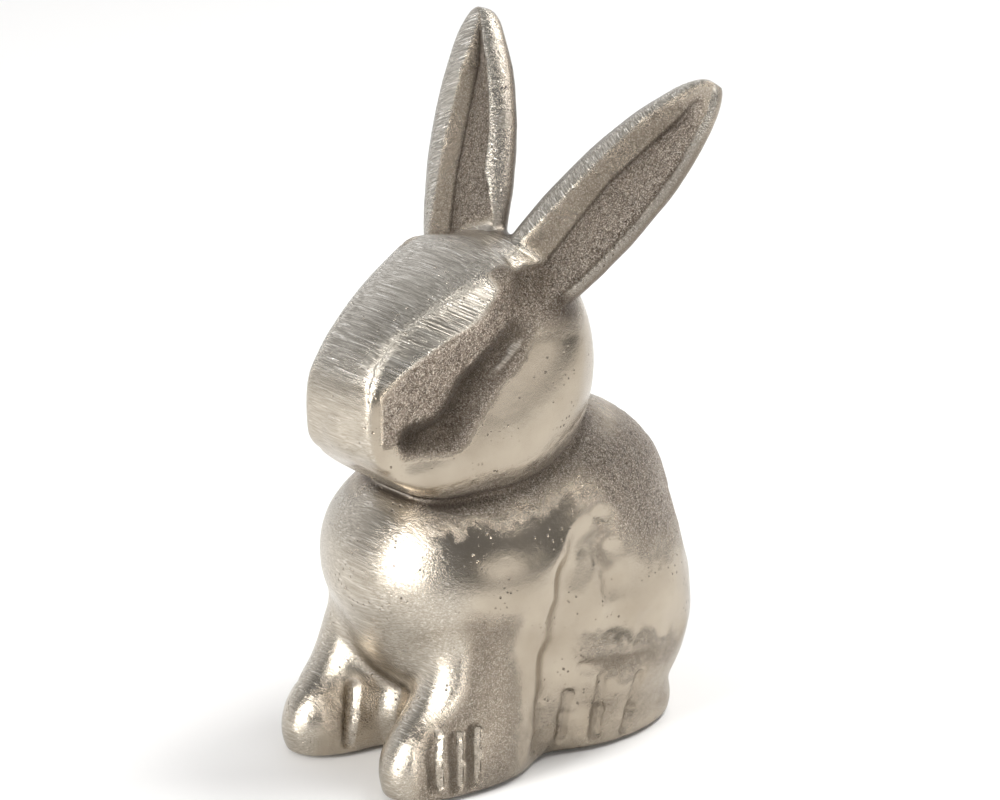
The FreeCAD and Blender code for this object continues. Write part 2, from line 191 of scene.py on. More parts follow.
def crown_roof(q, rise):
    """The domed crown, raised by millimetres: it slopes forward and rolls over into the nose."""
    ball = 0.006 * q[:, 0] ** 2 - rise
    slope = flat(q, (0, -30.3, 154.6), (0, -0.387, 1)) + ball
    brink = flat(q, (0, -61.5, 138.2), (0, -0.75, 1)) + ball
    rear = flat(q, (0, -8, 161), (0, 0.46, 1)) + ball
    roof = trim(trim(slope, brink, 5.0), rear, 10.0)
    nose = -67.3 - q[:, 1] + 0.014 * (q[:, 2] - 117.0) ** 2 + 0.005 * q[:, 0] ** 2
    return trim(roof, nose, 8.0)


def brow_side(q):
    """The walls of the brow, which drop into the eye recess."""
    rear_wall = flat(q, (23.8, -25.3, 150), (0.967, 0, 0.254))
    front_wall = flat(q, (22.5, -40.4, 140), (0.965, -0.263, 0))
    return trim(rear_wall, front_wall, 2.0)


def brow(q):
    """The wedge between the eye recesses: crown, narrow bevels, side walls, back and underside."""
    wedge = trim(crown_roof(q, 0.0), bevels(q), 2.0)
    wedge = trim(wedge, brow_side(q), 1.4)
    wedge = trim(wedge, flat(q, (0, -3, 140), (0.40, 1, 0.1)), 5.0)
    return trim(wedge, flat(q, (0, -30, 100), (0, 0, -1)), 6.0)


def cheeks(q):
    """Cheeks and skull, a little flattened beside the brow, with the jowls and the muzzle."""
    skull = ellipsoid(q, (0, -7, 126), (34.5, 31, 33))
    shape = join(ellipsoid(q, (0, -15, 113), (34.5, 39.5, 35)), skull, 8.0)
    shape = trim(shape, flat(q, (30.5, -19.6, 130), (0.85, -0.406, 0.336)), 8.0)
    shape = join(shape, ellipsoid(q, (0, -38, 100), (24, 28.5, 13)), 7.0)
    return join(shape, ellipsoid(q, (0, -42, 109), (15, 27, 17), -12.0), 5.0)


# The valley between brow and cheek, as stops along the bar that hollows it out.
VALLEY_RADIUS = 4.0
EYE_VALLEY = (
    (20.5, -53, 112),
    (23.5, -43, 113),
    (25.7, -35, 124.5),
    (30, -20, 138),
    (31.5, -14, 146),
)


def eye_valley(q):
    """Distance to the round bar that the eye valley is hollowed out by."""
    runs = zip(EYE_VALLEY, EYE_VALLEY[1:])
    return np.min([bar(q, start, end, VALLEY_RADIUS) for start, end in runs], axis=0)


def head(q):
    """Brow and cheeks with the valley between them, the sides of the nose and the chin."""
    shape = join(cheeks(q), brow(q), 1.5)
    shape = cut_line(shape, q, EYE_VALLEY, VALLEY_RADIUS, 3.0)
    shape = trim(shape, crown_roof(q, 1.5), 3.0)
    shape = trim(shape, flat(q, (16.3, -63.5, 112), (0.90, -0.43, 0)), 3.0)
    return trim(shape, flat(q, (16, -60, 101), (0, -0.75, -1)), 4.0)


# The left ear: the middle of its foot, its tip, the way that its hollow faces, how far it runs on
# into the head, and how far below its foot its outline is reckoned from.
EAR_FOOT = (15.8, 0.4, 150.0)
EAR_TIP = (50.5, 39.5, 208.0)
EAR_FACING = (0.1, -0.825, 0.565)
EAR_SUNK = 14.0
EAR_SPREAD = 10.0
# Its widest half width, the half thickness at its tip and what that gains lower down, the hollow's
# depth, and the millimetres that stand for one radius in its rough distance.
EAR_HALF_WIDTH = 17.3
EAR_TIP_THICKNESS = 3.0
EAR_THICKENING = 3.8
HOLLOW_DEPTH = 4.2
EAR_RADIUS = 5.0


def ear_axes(side):
    """Base point, direction, front normal and sideways direction of an ear, and its length."""
    mirror = np.array((side, 1.0, 1.0))
    base = EAR_FOOT * mirror
    run = EAR_TIP * mirror - base
    length = np.linalg.norm(run)
    direction = run / length
    normal = EAR_FACING * mirror
    normal -= direction * (normal @ direction)
    normal /= np.linalg.norm(normal)
    return base, direction, normal, np.cross(direction, normal), length


def ear_coordinates(points, side):
    """Distance up the ear, across it and over its middle, and the ear's length."""
    base, direction, normal, sideways, length = ear_axes(side)
    q = points - base.astype(np.float32)
    up = q @ direction.astype(np.float32)
    return up, q @ sideways.astype(np.float32), q @ normal.astype(np.float32), length


def ear_outline(up, length):
    """How much of the ear is left above each point, and its half width and half thickness there."""
    remaining = np.clip((length - up) / (length + EAR_SPREAD), 1e-3, 1.0)
    tip_share = np.minimum(remaining / 0.62, 1.0)
    bluntness = 0.5 + 0.12 * np.minimum(tip_share / 0.3, 1.0)
    fullness = (1.0 - (1.0 - tip_share) ** 2.0) ** bluntness
    waist = 1.0 - 0.2 * np.clip((remaining - 0.68) / 0.32, 0.0, 1.0) ** 1.5
    half_width = EAR_HALF_WIDTH * fullness * waist
    thickening = EAR_THICKENING * np.minimum(remaining / 0.25, 1.0) ** 0.6
    half_thickness = EAR_TIP_THICKNESS + thickening
    return remaining, half_width, half_thickness


# Each ear's hollow from tip to root, as shares of the ear's width: the rim left on either side of
# it and the crease along its floor.
HOLLOW_STOPS = (0.0, 0.07, 0.24, 0.49, 0.66, 0.83, 1.0)
HOLLOWS = {
    1: {
        "low": (0.34, 0.28, 0.25, 0.26, 0.27, 0.25, 0.18),
        "high": (0.25, 0.10, 0.05, 0.05, 0.05, 0.05, 0.03),
        "crease": (0.56, 0.58, 0.48, 0.43, 0.47, 0.52, 0.54),
    },
    -1: {
        "low": (0.75, 0.66, 0.45, 0.31, 0.25, 0.17, 0.10),
        "high": (0.28, 0.28, 0.19, 0.17, 0.19, 0.07, 0.04),
        "crease": (0.70, 0.69, 0.56, 0.44, 0.38, 0.34, 0.34),
    },
}


def ear_hollow(remaining, half_width, side):
    """Places across the ear of the hollow's two edges and of the crease along its floor."""
    shares = HOLLOWS[side]
    low = np.interp(remaining, HOLLOW_STOPS, shares["low"]) * 2.0 - 1.0
    high = 1.0 - np.interp(remaining, HOLLOW_STOPS, shares["high"]) * 2.0
    crease = np.interp(remaining, HOLLOW_STOPS, shares["crease"]) * 2.0 - 1.0
    return low * half_width, high * half_width, crease * half_width


def ear_depth(up, across, side, length):
    """How far below the rim the hollow's floor lies; negative outside the hollow."""
    remaining, half_width, _ = ear_outline(up, length)
    low, high, crease = ear_hollow(remaining, half_width, side)
    low_side = (across - low) / np.maximum(crease - low, 0.5)
    high_side = 0.25 + 0.75 * (high - across) / np.maximum(high - crease, 0.5)
    deepest = HOLLOW_DEPTH * step(0.03, 0.25, remaining)
    inside = np.minimum(np.minimum(low_side, high_side), 1.0)
    beyond = np.minimum(across - low, high - across)
    return np.where(beyond > 0.0, deepest * inside, beyond)


def ear(points, side):
    """A flat-faced blade with a rounded back, a rim and the hollow inside it."""
    up, across, over, length = ear_coordinates(points, side)
    _, half_width, half_thickness = ear_outline(up, length)
    oval = np.sqrt((across / half_width) ** 2 + (over / half_thickness) ** 2)
    shape = (oval - 1.0) * EAR_RADIUS
    shape = trim(shape, up - length, 1.0)
    shape = trim(shape, -up - EAR_SUNK, 1.0)
    rim = 0.86 * half_thickness - 0.05 * np.abs(across)
    shape = trim(shape, over - rim, 0.8)
    return trim(shape, over - rim + ear_depth(up, across, side, length), 0.7)


# The oval pocket under the base that the cover plate sits in: its half width, its half length,
# its top, and the millimetres that stand for one radius in its rough distance.
RECESS_HALF_WIDTH = 26.15
RECESS_HALF_LENGTH = 32.15
RECESS_TOP = 3.25
RECESS_RADIUS = 28.0


def plate_recess(points):
    """Distance to the pocket."""
    oval = (points[:, 0] / RECESS_HALF_WIDTH) ** 2 + (points[:, 1] / RECESS_HALF_LENGTH) ** 2
    return np.maximum((np.sqrt(oval) - 1.0) * RECESS_RADIUS, points[:, 2] - RECESS_TOP)


def figure(points):
    """Distance to the surface of the whole rabbit."""
    q = mirrored_to_left(points)
    shape = join(body(q), head(q), 2.0)
    for side in (1, -1):
        shape = join(shape, ear(points, side), 2.0)
    shape = trim(shape, BASE - points[:, 2], 0.8)
    return np.maximum(shape, -plate_recess(points))


# ---- Meshing -------------------------------------------------------------------------------------

# The lowest and highest corner of the space that is sampled, the distance between samples, the
# samples along a coarse cell, how many cells from the surface are still sampled finely, how many
# points are worked out at a time, and the distance that samples are held to.
GRID_LOW = np.array((-64.0, -76.0, -2.0), np.float32)
GRID_HIGH = np.array((64.0, 76.0, 214.0), np.float32)
SPACING = 0.8
COARSE = 4
NEAR_CELLS = 1.3
BATCH = 400000
BAND = 6.0
# How often the mesh is moved onto the true surface, and the furthest that a point goes each time.
SETTLE_ROUNDS = 3
SETTLE_LIMIT = 0.4
# How far to either side the slope of the distance is measured.
SLOPE_REACH = 0.12


def sample_field():
    """The field on a fine grid, worked out only near the surface."""
    block = SPACING * COARSE
    counts = np.ceil((GRID_HIGH - GRID_LOW) / block).astype(int)
    middles = [GRID_LOW[i] + block * (np.arange(counts[i]) + 0.5) - SPACING / 2 for i in range(3)]
    coarse_points = np.stack(np.meshgrid(*middles, indexing="ij"), -1).reshape(-1, 3)
    coarse = figure(coarse_points.astype(np.float32)).reshape(counts)
    fine = coarse.astype(np.float32)
    for axis in range(3):
        fine = np.repeat(fine, COARSE, axis)
    near = np.argwhere(np.abs(fine) < block * NEAR_CELLS)
    for start in range(0, len(near), BATCH):
        part = near[start : start + BATCH]
        values = figure(GRID_LOW + part.astype(np.float32) * SPACING)
        fine[part[:, 0], part[:, 1], part[:, 2]] = values
    return np.clip(fine, -BAND, BAND)


def gradient(points):
    """How fast the distance grows along each axis at each point."""
    columns = []
    for axis in range(3):
        offset = np.zeros(3, np.float32)
        offset[axis] = SLOPE_REACH
        rise = figure(points + offset) - figure(points - offset)
        columns.append(rise / (2.0 * SLOPE_REACH))
    return np.stack(columns, 1)


def surface_mesh():
    """Points in millimetres and quads of the whole figure's surface."""
    grid = openvdb.FloatGrid()
    grid.background = BAND
    grid.copyFromArray(sample_field())
    points, quads = grid.convertToQuads(isovalue=0.0)
    points = points.astype(np.float32) * SPACING + GRID_LOW
    for _ in range(SETTLE_ROUNDS):
        slope = gradient(points)
        scale = np.maximum((slope**2).sum(1), 0.2)
        shift = slope * (figure(points) / scale)[:, None]
        size = np.linalg.norm(shift, axis=1)[:, None]
        points = points - shift * np.minimum(1.0, SETTLE_LIMIT / np.maximum(size, 1e-6))
    return points, quads


# ---- Cast grain and finish masks -----------------------------------------------------------------

# Random values along each side of the noise's block, after which it repeats.
LATTICE = 64

# Noise as layers of strength, cell size in millimetres and seed: the wander of the masks' edges,
# and the waves, the sand grain and the belt lines, whose strength is their height in millimetres.
WANDER = ((1.5, 7.0, 3), (0.9, 2.2, 4))
WAVES = ((0.34, 17.0, 10), (0.20, 8.0, 11))
SAND = ((0.15, 2.1, 12), (0.13, 1.2, 13))
BELT_LINES = ((0.025, 1.3, 14),)
# The belt lines in the relief run along X, because their noise is looked up at places squeezed
# that way.  Those in the material follow the way the belt ran, squeezed by BELT_SQUEEZE along it.
LINE_SQUEEZE = (0.12, 1.0, 1.0)
BELT_SQUEEZE = 0.035
# The way that the belt ran over the left bevels; it ran across the rabbit elsewhere on the body.
BEVEL_WAY = (0.72, 0.60, -0.37)
# How far out, in millimetres, other parts of the figure shade a point.
SHADE_REACH = 9.0


def value_noise(points, cell, seed):
    """Smooth noise from -1 to 1 with one random value per cell corner."""
    lattice = np.random.default_rng(seed).random((LATTICE,) * 3, dtype=np.float32) * 2.0 - 1.0
    place = points / cell
    corner = np.floor(place).astype(int)
    share = place - corner
    share = share * share * (3.0 - 2.0 * share)
    total = np.zeros(len(points), np.float32)
    for dx in (0, 1):
        for dy in (0, 1):
            for dz in (0, 1):
                weight = np.abs(1 - dx - share[:, 0]) * np.abs(1 - dy - share[:, 1])
                weight = weight * np.abs(1 - dz - share[:, 2])
                cells = (corner + (dx, dy, dz)) % LATTICE
                total += weight * lattice[cells[:, 0], cells[:, 1], cells[:, 2]]
    return total


def layered_noise(points, layers):
    """The sum of some layers of noise."""
    return sum(strength * value_noise(points, cell, seed) for strength, cell, seed in layers)


def closeness(points, normals):
    """How much of the view out of each point the figure takes up, from 0 to 1, for painted shade."""
    crease_shade = np.zeros(len(points), np.float32)
    for share in (0.25, 0.5, 1.0):
        gap = SHADE_REACH * share
        crease_shade += np.clip(1.0 - figure(points + normals * gap) / gap, 0.0, 1.0) / 3.0
    return crease_shade


def head_masks(q, normals, wander):
    """The belt-ground crown, bevels and nose, and the eye recesses and temples left as cast."""
    x, y, z = q[:, 0], q[:, 1], q[:, 2]
    side = brow_side(q)
    valley = eye_valley(q)
    on_head = step(100, 108, z) * step(10, 2, y)
    temple = step(16.0, 19.5, x + 0.6 * wander) * step(-24.0, -20.0, y) * step(134, 144, z)
    top = step(0.30, 0.42, normals[:, 2]) * step(124, 132, z) * step(0.0, -0.8, side)
    top = top * (1.0 - temple)
    nose = step(-60.0, -64.0, y + 0.3 * wander) * step(0.6, 0.85, -normals[:, 1])
    ground = on_head * np.maximum(top, 0.45 * nose)
    floor_line = np.interp(y, [stop[1] for stop in EYE_VALLEY], [stop[2] for stop in EYE_VALLEY])
    above = step(-1.5, 0.5, z - floor_line + 0.5 * wander)
    wall = step(2.6, 0.4, side + 0.3 * wander) * step(-1.4, -0.3, side)
    wall = wall * step(-62.5, -61.0, y) * above
    hollow = step(3.4, 1.4, valley + 0.5 * wander)
    steep = step(0.60, 0.46, normals[:, 2])
    return ground, on_head * np.max([wall * steep, 0.9 * hollow, temple], axis=0)


def body_masks(q, normals, wander):
    """The ground chest and paws, and the neck, upper back and forelegs left as cast."""
    x, y, z = q[:, 0], q[:, 1], q[:, 2]
    low = step(100, 92, z)
    front = step(0.35, 0.62, -normals[:, 1] - 0.25 * np.maximum(normals[:, 0], 0.0))
    chest = 0.55 * front * step(-34, -42, y + wander)
    neck = step(12.0, 2.5, np.abs(body(q) - head(q)) + 1.5 * wander) * step(112, 104, z)
    neck = neck * step(6.0, 20.0, x + 0.5 * (y + 45.0))
    shoulder = step(0.0, 0.35, normals[:, 2] + 0.3 * normals[:, 1])
    back = step(56, 72, z + 3.0 * wander) * step(-6, 12, y + 2.0 * wander) * shoulder
    leg = step(26, 32, x) * step(-26, -34, y + wander) * step(60, 52, z + wander) * (1.0 - front)
    toes = step(30, 18, z) * step(-2.0, 2.5, wander) * (1.0 - front)
    foot_top = step(9.0, 1.0, np.abs(z - 34 + 0.25 * y) + 2.0 * wander) * step(36, 41, x)
    foot_top = 0.5 * foot_top * step(-10, 2, y)
    rough = np.max([0.85 * neck, back, 0.6 * leg, 0.35 * toes, foot_top], axis=0)
    return low * chest, low * rough + (1.0 - low) * neck


def finish_masks(points, normals):
    """How far each point is belt ground, and how far it is left rough from the sand."""
    q = mirrored_to_left(points)
    wander = layered_noise(points, WANDER)
    head_ground, head_rough = head_masks(q, normals, wander)
    body_ground, body_rough = body_masks(q, normals, wander)
    ground = np.maximum(head_ground, body_ground)
    rough = np.maximum(head_rough, body_rough)
    for side in (1, -1):
        up, across, over, length = ear_coordinates(points, side)
        remaining, half_width, _ = ear_outline(up, length)
        on_ear = step(1.0, 7.0, up) * step(24.0, 20.0, np.abs(across)) * step(10.0, 8.0, np.abs(over))
        depth = ear_depth(up, across, side, length)
        hollow = step(-0.4, 0.6, depth + 0.35 * wander) * step(-1.0, 1.0, over)
        rim = step(0.2, -0.5, depth) * step(0.0, 1.5, over)
        ground = ground * (1.0 - on_ear) + on_ear * rim
        crease = ear_hollow(remaining, half_width, side)[2]
        wall = step(0.8, -0.8, across - crease + 0.4 * wander)
        rough = rough * (1.0 - on_ear) + on_ear * np.maximum(hollow * (1.0 - 0.5 * wall), 0.2)
    return np.clip(ground, 0.0, 1.0), np.clip(rough * (1.0 - 0.85 * ground), 0.0, 1.0)


def ear_crease_shade(points):
    """Painted shade along the crease of each ear's hollow."""
    painted_shade = np.zeros(len(points), np.float32)
    for side in (1, -1):
        up, across, over, length = ear_coordinates(points, side)
        remaining, half_width, _ = ear_outline(up, length)
        crease = ear_hollow(remaining, half_width, side)[2]
        near = step(1.1, 0.3, np.abs(across - crease)) * step(0.04, 0.12, remaining)
        near = near * step(2.0, 6.0, up) * step(-1.0, 1.0, over) * step(9.0, 8.0, over)
        painted_shade = np.maximum(painted_shade, near)
    return painted_shade


def belt_place(points):
    """Points squeezed along the way the belt ran, so that noise looked up there draws its lines."""
    way = np.tile(np.array((1.0, 0.0, 0.0), np.float32), (len(points), 1))
    q = mirrored_to_left(points)
    on_bevel = (bevels(q) > crown_roof(q, 0.0)) & (q[:, 2] > 115) & (q[:, 1] < 0)
    way[on_bevel] = BEVEL_WAY
    way[on_bevel & (points[:, 0] < 0), 0] = -BEVEL_WAY[0]
    for side in (1, -1):
        up, across, over, _ = ear_coordinates(points, side)
        on_ear = (up > 4.0) & (np.abs(across) < 22.0) & (np.abs(over) < 10.0)
        way[on_ear] = ear_axes(side)[3]
    along = (points * way).sum(1)
    return points - way * (along * (1.0 - BELT_SQUEEZE))[:, None]


def grain_height(points, ground, rough):
    """Surface relief in millimetres: hand-worked waves, sand grain and fine belt lines."""
    waves = layered_noise(points, WAVES)
    sand = layered_noise(points, SAND)
    lines = layered_noise(points * np.array(LINE_SQUEEZE, np.float32), BELT_LINES)
    smooth = np.clip(1.0 - ground - rough, 0.0, 1.0)
    return waves * (1.0 - 0.4 * ground) + sand * (rough + 0.10 * smooth) + lines * ground


# ---- Pieces --------------------------------------------------------------------------------------


def store(mesh, name, values):
    """Keeps a number or a vector for each vertex, under the name that materials ask for."""
    kind, field = ("FLOAT", "value") if values.ndim == 1 else ("FLOAT_VECTOR", "vector")
    layer = mesh.attributes.new(name, kind, "POINT")
    layer.data.foreach_set(field, values.astype(np.float32).ravel())


def build_figure():
    """The whole skin as a bmesh in metres, carrying its normals, finish masks and painted shade."""
    points, quads = surface_mesh()
    slope = gradient(points)
    normals = slope / np.maximum(np.linalg.norm(slope, axis=1), 1e-6)[:, None]
    ground, rough = finish_masks(points, normals)
    clear_of_base = step(BASE + 0.3, BASE + 3.0, points[:, 2])
    height = grain_height(points, ground, rough) * clear_of_base
    # Painted shade where the figure closes in on itself, along each ear's crease and in the eye
    # valley.
    crease_shade = np.maximum(closeness(points, normals), 0.7 * ear_crease_shade(points))
    valley = eye_valley(mirrored_to_left(points))
    crease_shade = np.maximum(crease_shade, 0.55 * step(2.8, 0.2, valley))
    belt = belt_place(points) * MM
    points = points + normals * height[:, None]

    mesh = bpy.data.meshes.new("figure_skin")
    mesh.from_pydata((points * MM).tolist(), [], quads.tolist())
    mesh.update()
    smooth = np.empty(len(points) * 3, np.float32)
    mesh.vertices.foreach_get("normal", smooth)
    store(mesh, "skin_normal", smooth.reshape(-1, 3))
    store(mesh, "ground", ground)
    store(mesh, "rough", rough)
    store(mesh, "crease_shade", crease_shade)
    store(mesh, "belt", belt)
    skin = bmesh.new()
    skin.from_mesh(mesh)
    bpy.data.meshes.remove(mesh)
    return skin


def cut_off(source, cuts):
    """A closed copy of the skin behind every cut, each a point in mm and the normal to lose."""
    piece = source.copy()
    for through, normal in cuts:
        geometry = piece.verts[:] + piece.edges[:] + piece.faces[:]
        bmesh.ops.bisect_plane(
            piece,
            geom=geometry,
            dist=1e-7,
            plane_co=Vector(through) * MM,
            plane_no=Vector(normal),
            clear_outer=True,
        )
        rim = [edge for edge in piece.edges if edge.is_boundary]
        filled = bmesh.ops.triangle_fill(piece, edges=rim, use_beauty=True, normal=Vector(normal))
        for item in filled["geom"]:
            if isinstance(item, bmesh.types.BMFace):
                item.material_index = 1
    return piece


def read(items, field, kind, width=1):
    """A number, or a vector of the given width, of each item as an array."""
    values = np.empty(len(items) * width, kind)
    items.foreach_get(field, values)
    return values if width == 1 else values.reshape(-1, width)


def settle_normals(mesh):
    """Shades the skin by its stored normals and the cuts, which have material index 1, as flat."""
    skin_normals = read(mesh.attributes["skin_normal"].data, "vector", np.float32, 3)
    corner_normals = skin_normals[read(mesh.loops, "vertex_index", np.int32)]
    is_cut = read(mesh.polygons, "material_index", np.int32)
    sizes = read(mesh.polygons, "loop_total", np.int32)
    face_normals = read(mesh.polygons, "normal", np.float32, 3)
    on_cut = np.repeat(is_cut, sizes) > 0
    corner_normals[on_cut] = np.repeat(face_normals, sizes, axis=0)[on_cut]
    mesh.attributes.remove(mesh.attributes["skin_normal"])
    mesh.polygons.foreach_set("material_index", np.zeros_like(is_cut))
    mesh.normals_split_custom_set(corner_normals)


def make_piece(name, source, cuts, material, node):
    """A visible piece of the skin, closed by flat cuts, that stands for a CAD node."""
    piece = cut_off(source, cuts)
    bmesh.ops.recalc_face_normals(piece, faces=piece.faces[:])
    mesh = bpy.data.meshes.new(name)
    piece.to_mesh(mesh)
    piece.free()
    settle_normals(mesh)
    mesh.materials.append(material)
    obj = bpy.data.objects.new(name, mesh)
    bpy.context.scene.collection.objects.link(obj)
    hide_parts(node)
    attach(obj, "root")


def build_pieces(cast, weld):
    """Two half bodies, the seam between them, two ears and the weld at the foot of each."""
    skin = build_figure()
    seam = [((SEAM_HALF, 0, 0), (1, 0, 0)), ((-SEAM_HALF, 0, 0), (-1, 0, 0))]
    make_piece("seam", skin, seam, weld, "seam_weld")
    for side, label in ((1, "left"), (-1, "right")):
        base, direction = ear_axes(side)[:2]
        low = base + direction * EAR_JOINT
        high = base + direction * (EAR_JOINT + EAR_WELD)
        half = ((SEAM_HALF * side, 0, 0), (-side, 0, 0))
        body_cuts = [half, (low, direction)]
        weld_cuts = [half, (low, -direction), (high, direction)]
        ear_cuts = [half, (high, -direction)]
        make_piece(label + "_body", skin, body_cuts, cast, label + "_body_casting")
        make_piece(label + "_ear_joint", skin, weld_cuts, weld, label + "_ear_weld")
        make_piece(label + "_ear", skin, ear_cuts, cast, label + "_ear_casting")
    skin.free()


# ---- Materials -----------------------------------------------------------------------------------

# Metal colours of the nickel where it is polished, belt ground, scratched, rough from the sand,
# pitted, and of the painted shade in its folds.
POLISHED_WARM = (0.47, 0.41, 0.33, 1)
POLISHED_DIM = (0.385, 0.33, 0.26, 1)
BELT_DARK = (0.34, 0.31, 0.262, 1)
BELT_LIGHT = (0.66, 0.615, 0.545, 1)
SCRATCH = (0.86, 0.82, 0.75, 1)
SAND_DARK = (0.10, 0.075, 0.057, 1)
SAND_DULL = (0.30, 0.246, 0.197, 1)
SAND_BRIGHT = (0.86, 0.78, 0.68, 1)
PIT = (0.20, 0.165, 0.13, 1)
SHADE_COLOUR = (0.085, 0.065, 0.05, 1)

# Colours of the parts underneath.
PLATE_DARK = (0.45, 0.43, 0.40, 1)
PLATE_LIGHT = (0.66, 0.63, 0.59, 1)
SCREW_DARK = (0.36, 0.36, 0.36, 1)
SCREW_LIGHT = (0.6, 0.6, 0.6, 1)
FELT_DARK = (0.03, 0.028, 0.026, 1)
FELT_LIGHT = (0.12, 0.11, 0.10, 1)


class Shader:
    """A material's node tree, with short calls that add and link nodes.

    Noise scales are per metre, so 1000 gives marks of about a millimetre.
    """

    def __init__(self, name):
        self.material = bpy.data.materials.new(name)
        self.material.use_nodes = True
        self.tree = self.material.node_tree
        self.surface = self.tree.nodes["Principled BSDF"]
        self.place = self.tree.nodes.new("ShaderNodeTexCoord").outputs["Object"]

    def node(self, kind, settings=None, **inputs):
        made = self.tree.nodes.new(kind)
        for name, value in (settings or {}).items():
            setattr(made, name, value)
        for name, value in inputs.items():
            self.feed(made.inputs[name.replace("_", " ")], value)
        return made

    def feed(self, socket, value):
        if isinstance(value, bpy.types.NodeSocket):
            self.tree.links.new(value, socket)
        else:
            socket.default_value = value

    def stored(self, name, output):
        """What the mesh stores per vertex under a name: Fac for a number, Vector for a place."""
        return self.node("ShaderNodeAttribute", {"attribute_name": name}).outputs[output]

    def stretched(self, scale):
        mapping = self.node("ShaderNodeMapping", Vector=self.place)
        mapping.inputs["Scale"].default_value = scale
        return mapping.outputs["Vector"]

    def noise(self, scale, detail, roughness=0.55, place=None):
        made = self.node("ShaderNodeTexNoise", Vector=place or self.place, Scale=scale, Detail=detail)
        made.inputs["Roughness"].default_value = roughness
        return made.outputs["Fac"]

    def spots(self, scale):
        made = self.node("ShaderNodeTexVoronoi", Vector=self.place, Scale=scale)
        return made.outputs["Distance"]

    def ramp(self, value, low, high, first=0.0, last=1.0):
        """From first to last as the value goes from low to high."""
        made = self.node("ShaderNodeMapRange", {"clamp": True}, Value=value)
        made.inputs["From Min"].default_value = low
        made.inputs["From Max"].default_value = high
        made.inputs["To Min"].default_value = first
        made.inputs["To Max"].default_value = last
        return made.outputs["Result"]

    def math(self, operation, first, second):
        made = self.node("ShaderNodeMath", {"operation": operation})
        self.feed(made.inputs[0], first)
        self.feed(made.inputs[1], second)
        return made.outputs[0]

    def blend(self, share, first, second):
        """A colour between two.  Inputs 6 and 7 and output 2 are the Mix node's colour sockets."""
        made = self.node("ShaderNodeMix", {"data_type": "RGBA"})
        self.feed(made.inputs[0], share)
        self.feed(made.inputs[6], first)
        self.feed(made.inputs[7], second)
        return made.outputs[2]

    def bump(self, height, distance, strength=1.0, below=None):
        made = self.node("ShaderNodeBump", Height=height, Distance=distance, Strength=strength)
        if below is not None:
            self.tree.links.new(below, made.inputs["Normal"])
        return made.outputs["Normal"]


def nickel(name):
    """Raw nickel over cast aluminium: polished, belt ground or rough from the sand by mask."""
    shader = Shader(name)
    ground, rough, crease_shade = [shader.stored(name, "Fac") for name in ("ground", "rough", "crease_shade")]
    belt_at = shader.stored("belt", "Vector")
    belt = shader.noise(2300.0, 3.0, 0.75, belt_at)
    deep_belt = shader.noise(1100.0, 2.0, 0.6, belt_at)
    scratches = shader.ramp(shader.noise(1700.0, 2.0, 0.5, belt_at), 0.60, 0.68)
    sand = shader.noise(2100.0, 4.0, 0.85)
    clumps = shader.noise(650.0, 3.0, 0.75)
    patches = shader.noise(45.0, 4.0)
    pits = shader.ramp(shader.spots(520.0), 0.10, 0.24, 1.0, 0.0)
    pits = shader.math("MULTIPLY", pits, shader.ramp(shader.noise(110.0, 3.0), 0.50, 0.64))

    polished = shader.blend(shader.ramp(patches, 0.35, 0.65), POLISHED_WARM, POLISHED_DIM)
    belted = shader.blend(shader.ramp(belt, 0.40, 0.62), BELT_DARK, BELT_LIGHT)
    dull = shader.blend(shader.ramp(clumps, 0.35, 0.65), SAND_DARK, SAND_DULL)
    sandy = shader.blend(shader.ramp(sand, 0.50, 0.62), dull, SAND_BRIGHT)
    belted = shader.blend(scratches, belted, SCRATCH)
    colour = shader.blend(ground, polished, belted)
    colour = shader.blend(rough, colour, sandy)
    colour = shader.blend(pits, colour, PIT)
    # Painted shade: the colour darkens in the folds, the eye valley and the ear creases, where shade
    # falls.
    uneven_shade = shader.math("ADD", crease_shade, shader.math("MULTIPLY", clumps, 0.2))
    painted_shade = shader.ramp(uneven_shade, 0.30, 0.95, 0.0, 0.85)
    colour = shader.blend(painted_shade, colour, SHADE_COLOUR)
    shader.feed(shader.surface.inputs["Base Color"], colour)
    shader.surface.inputs["Metallic"].default_value = 1.0

    base_roughness = shader.ramp(patches, 0.3, 0.7, 0.17, 0.27)
    worn = shader.math("ADD", base_roughness, shader.math("MULTIPLY", ground, 0.04))
    rough_part = shader.math("MULTIPLY", rough, 0.12)
    shader.feed(shader.surface.inputs["Roughness"], shader.math("ADD", worn, rough_part))

    lines = shader.math("ADD", belt, deep_belt)
    normal = shader.bump(shader.math("MULTIPLY", lines, ground), 0.00016)
    grain = shader.math("ADD", sand, shader.math("MULTIPLY", clumps, 2.0))
    sand_amount = shader.math("ADD", shader.math("MULTIPLY", rough, 0.96), 0.04)
    normal = shader.bump(shader.math("MULTIPLY", grain, sand_amount), 0.0010, 1.0, normal)
    normal = shader.bump(shader.math("MULTIPLY", pits, -1.0), 0.0003, 0.8, normal)
    shader.tree.links.new(normal, shader.surface.inputs["Normal"])
    return shader.material


def plain_metal(name, dark, light, roughness):
    """Sheet or screw metal with fine rolling marks."""
    shader = Shader(name)
    marks = shader.noise(1500.0, 3.0, place=shader.stretched((0.1, 1.0, 1.0)))
    shader.feed(shader.surface.inputs["Base Color"], shader.blend(marks, dark, light))
    shader.surface.inputs["Metallic"].default_value = 1.0
    worn = shader.ramp(marks, 0.3, 0.7, roughness, roughness + 0.12)
    shader.feed(shader.surface.inputs["Roughness"], worn)
    shader.tree.links.new(shader.bump(marks, 0.00005), shader.surface.inputs["Normal"])
    return shader.material


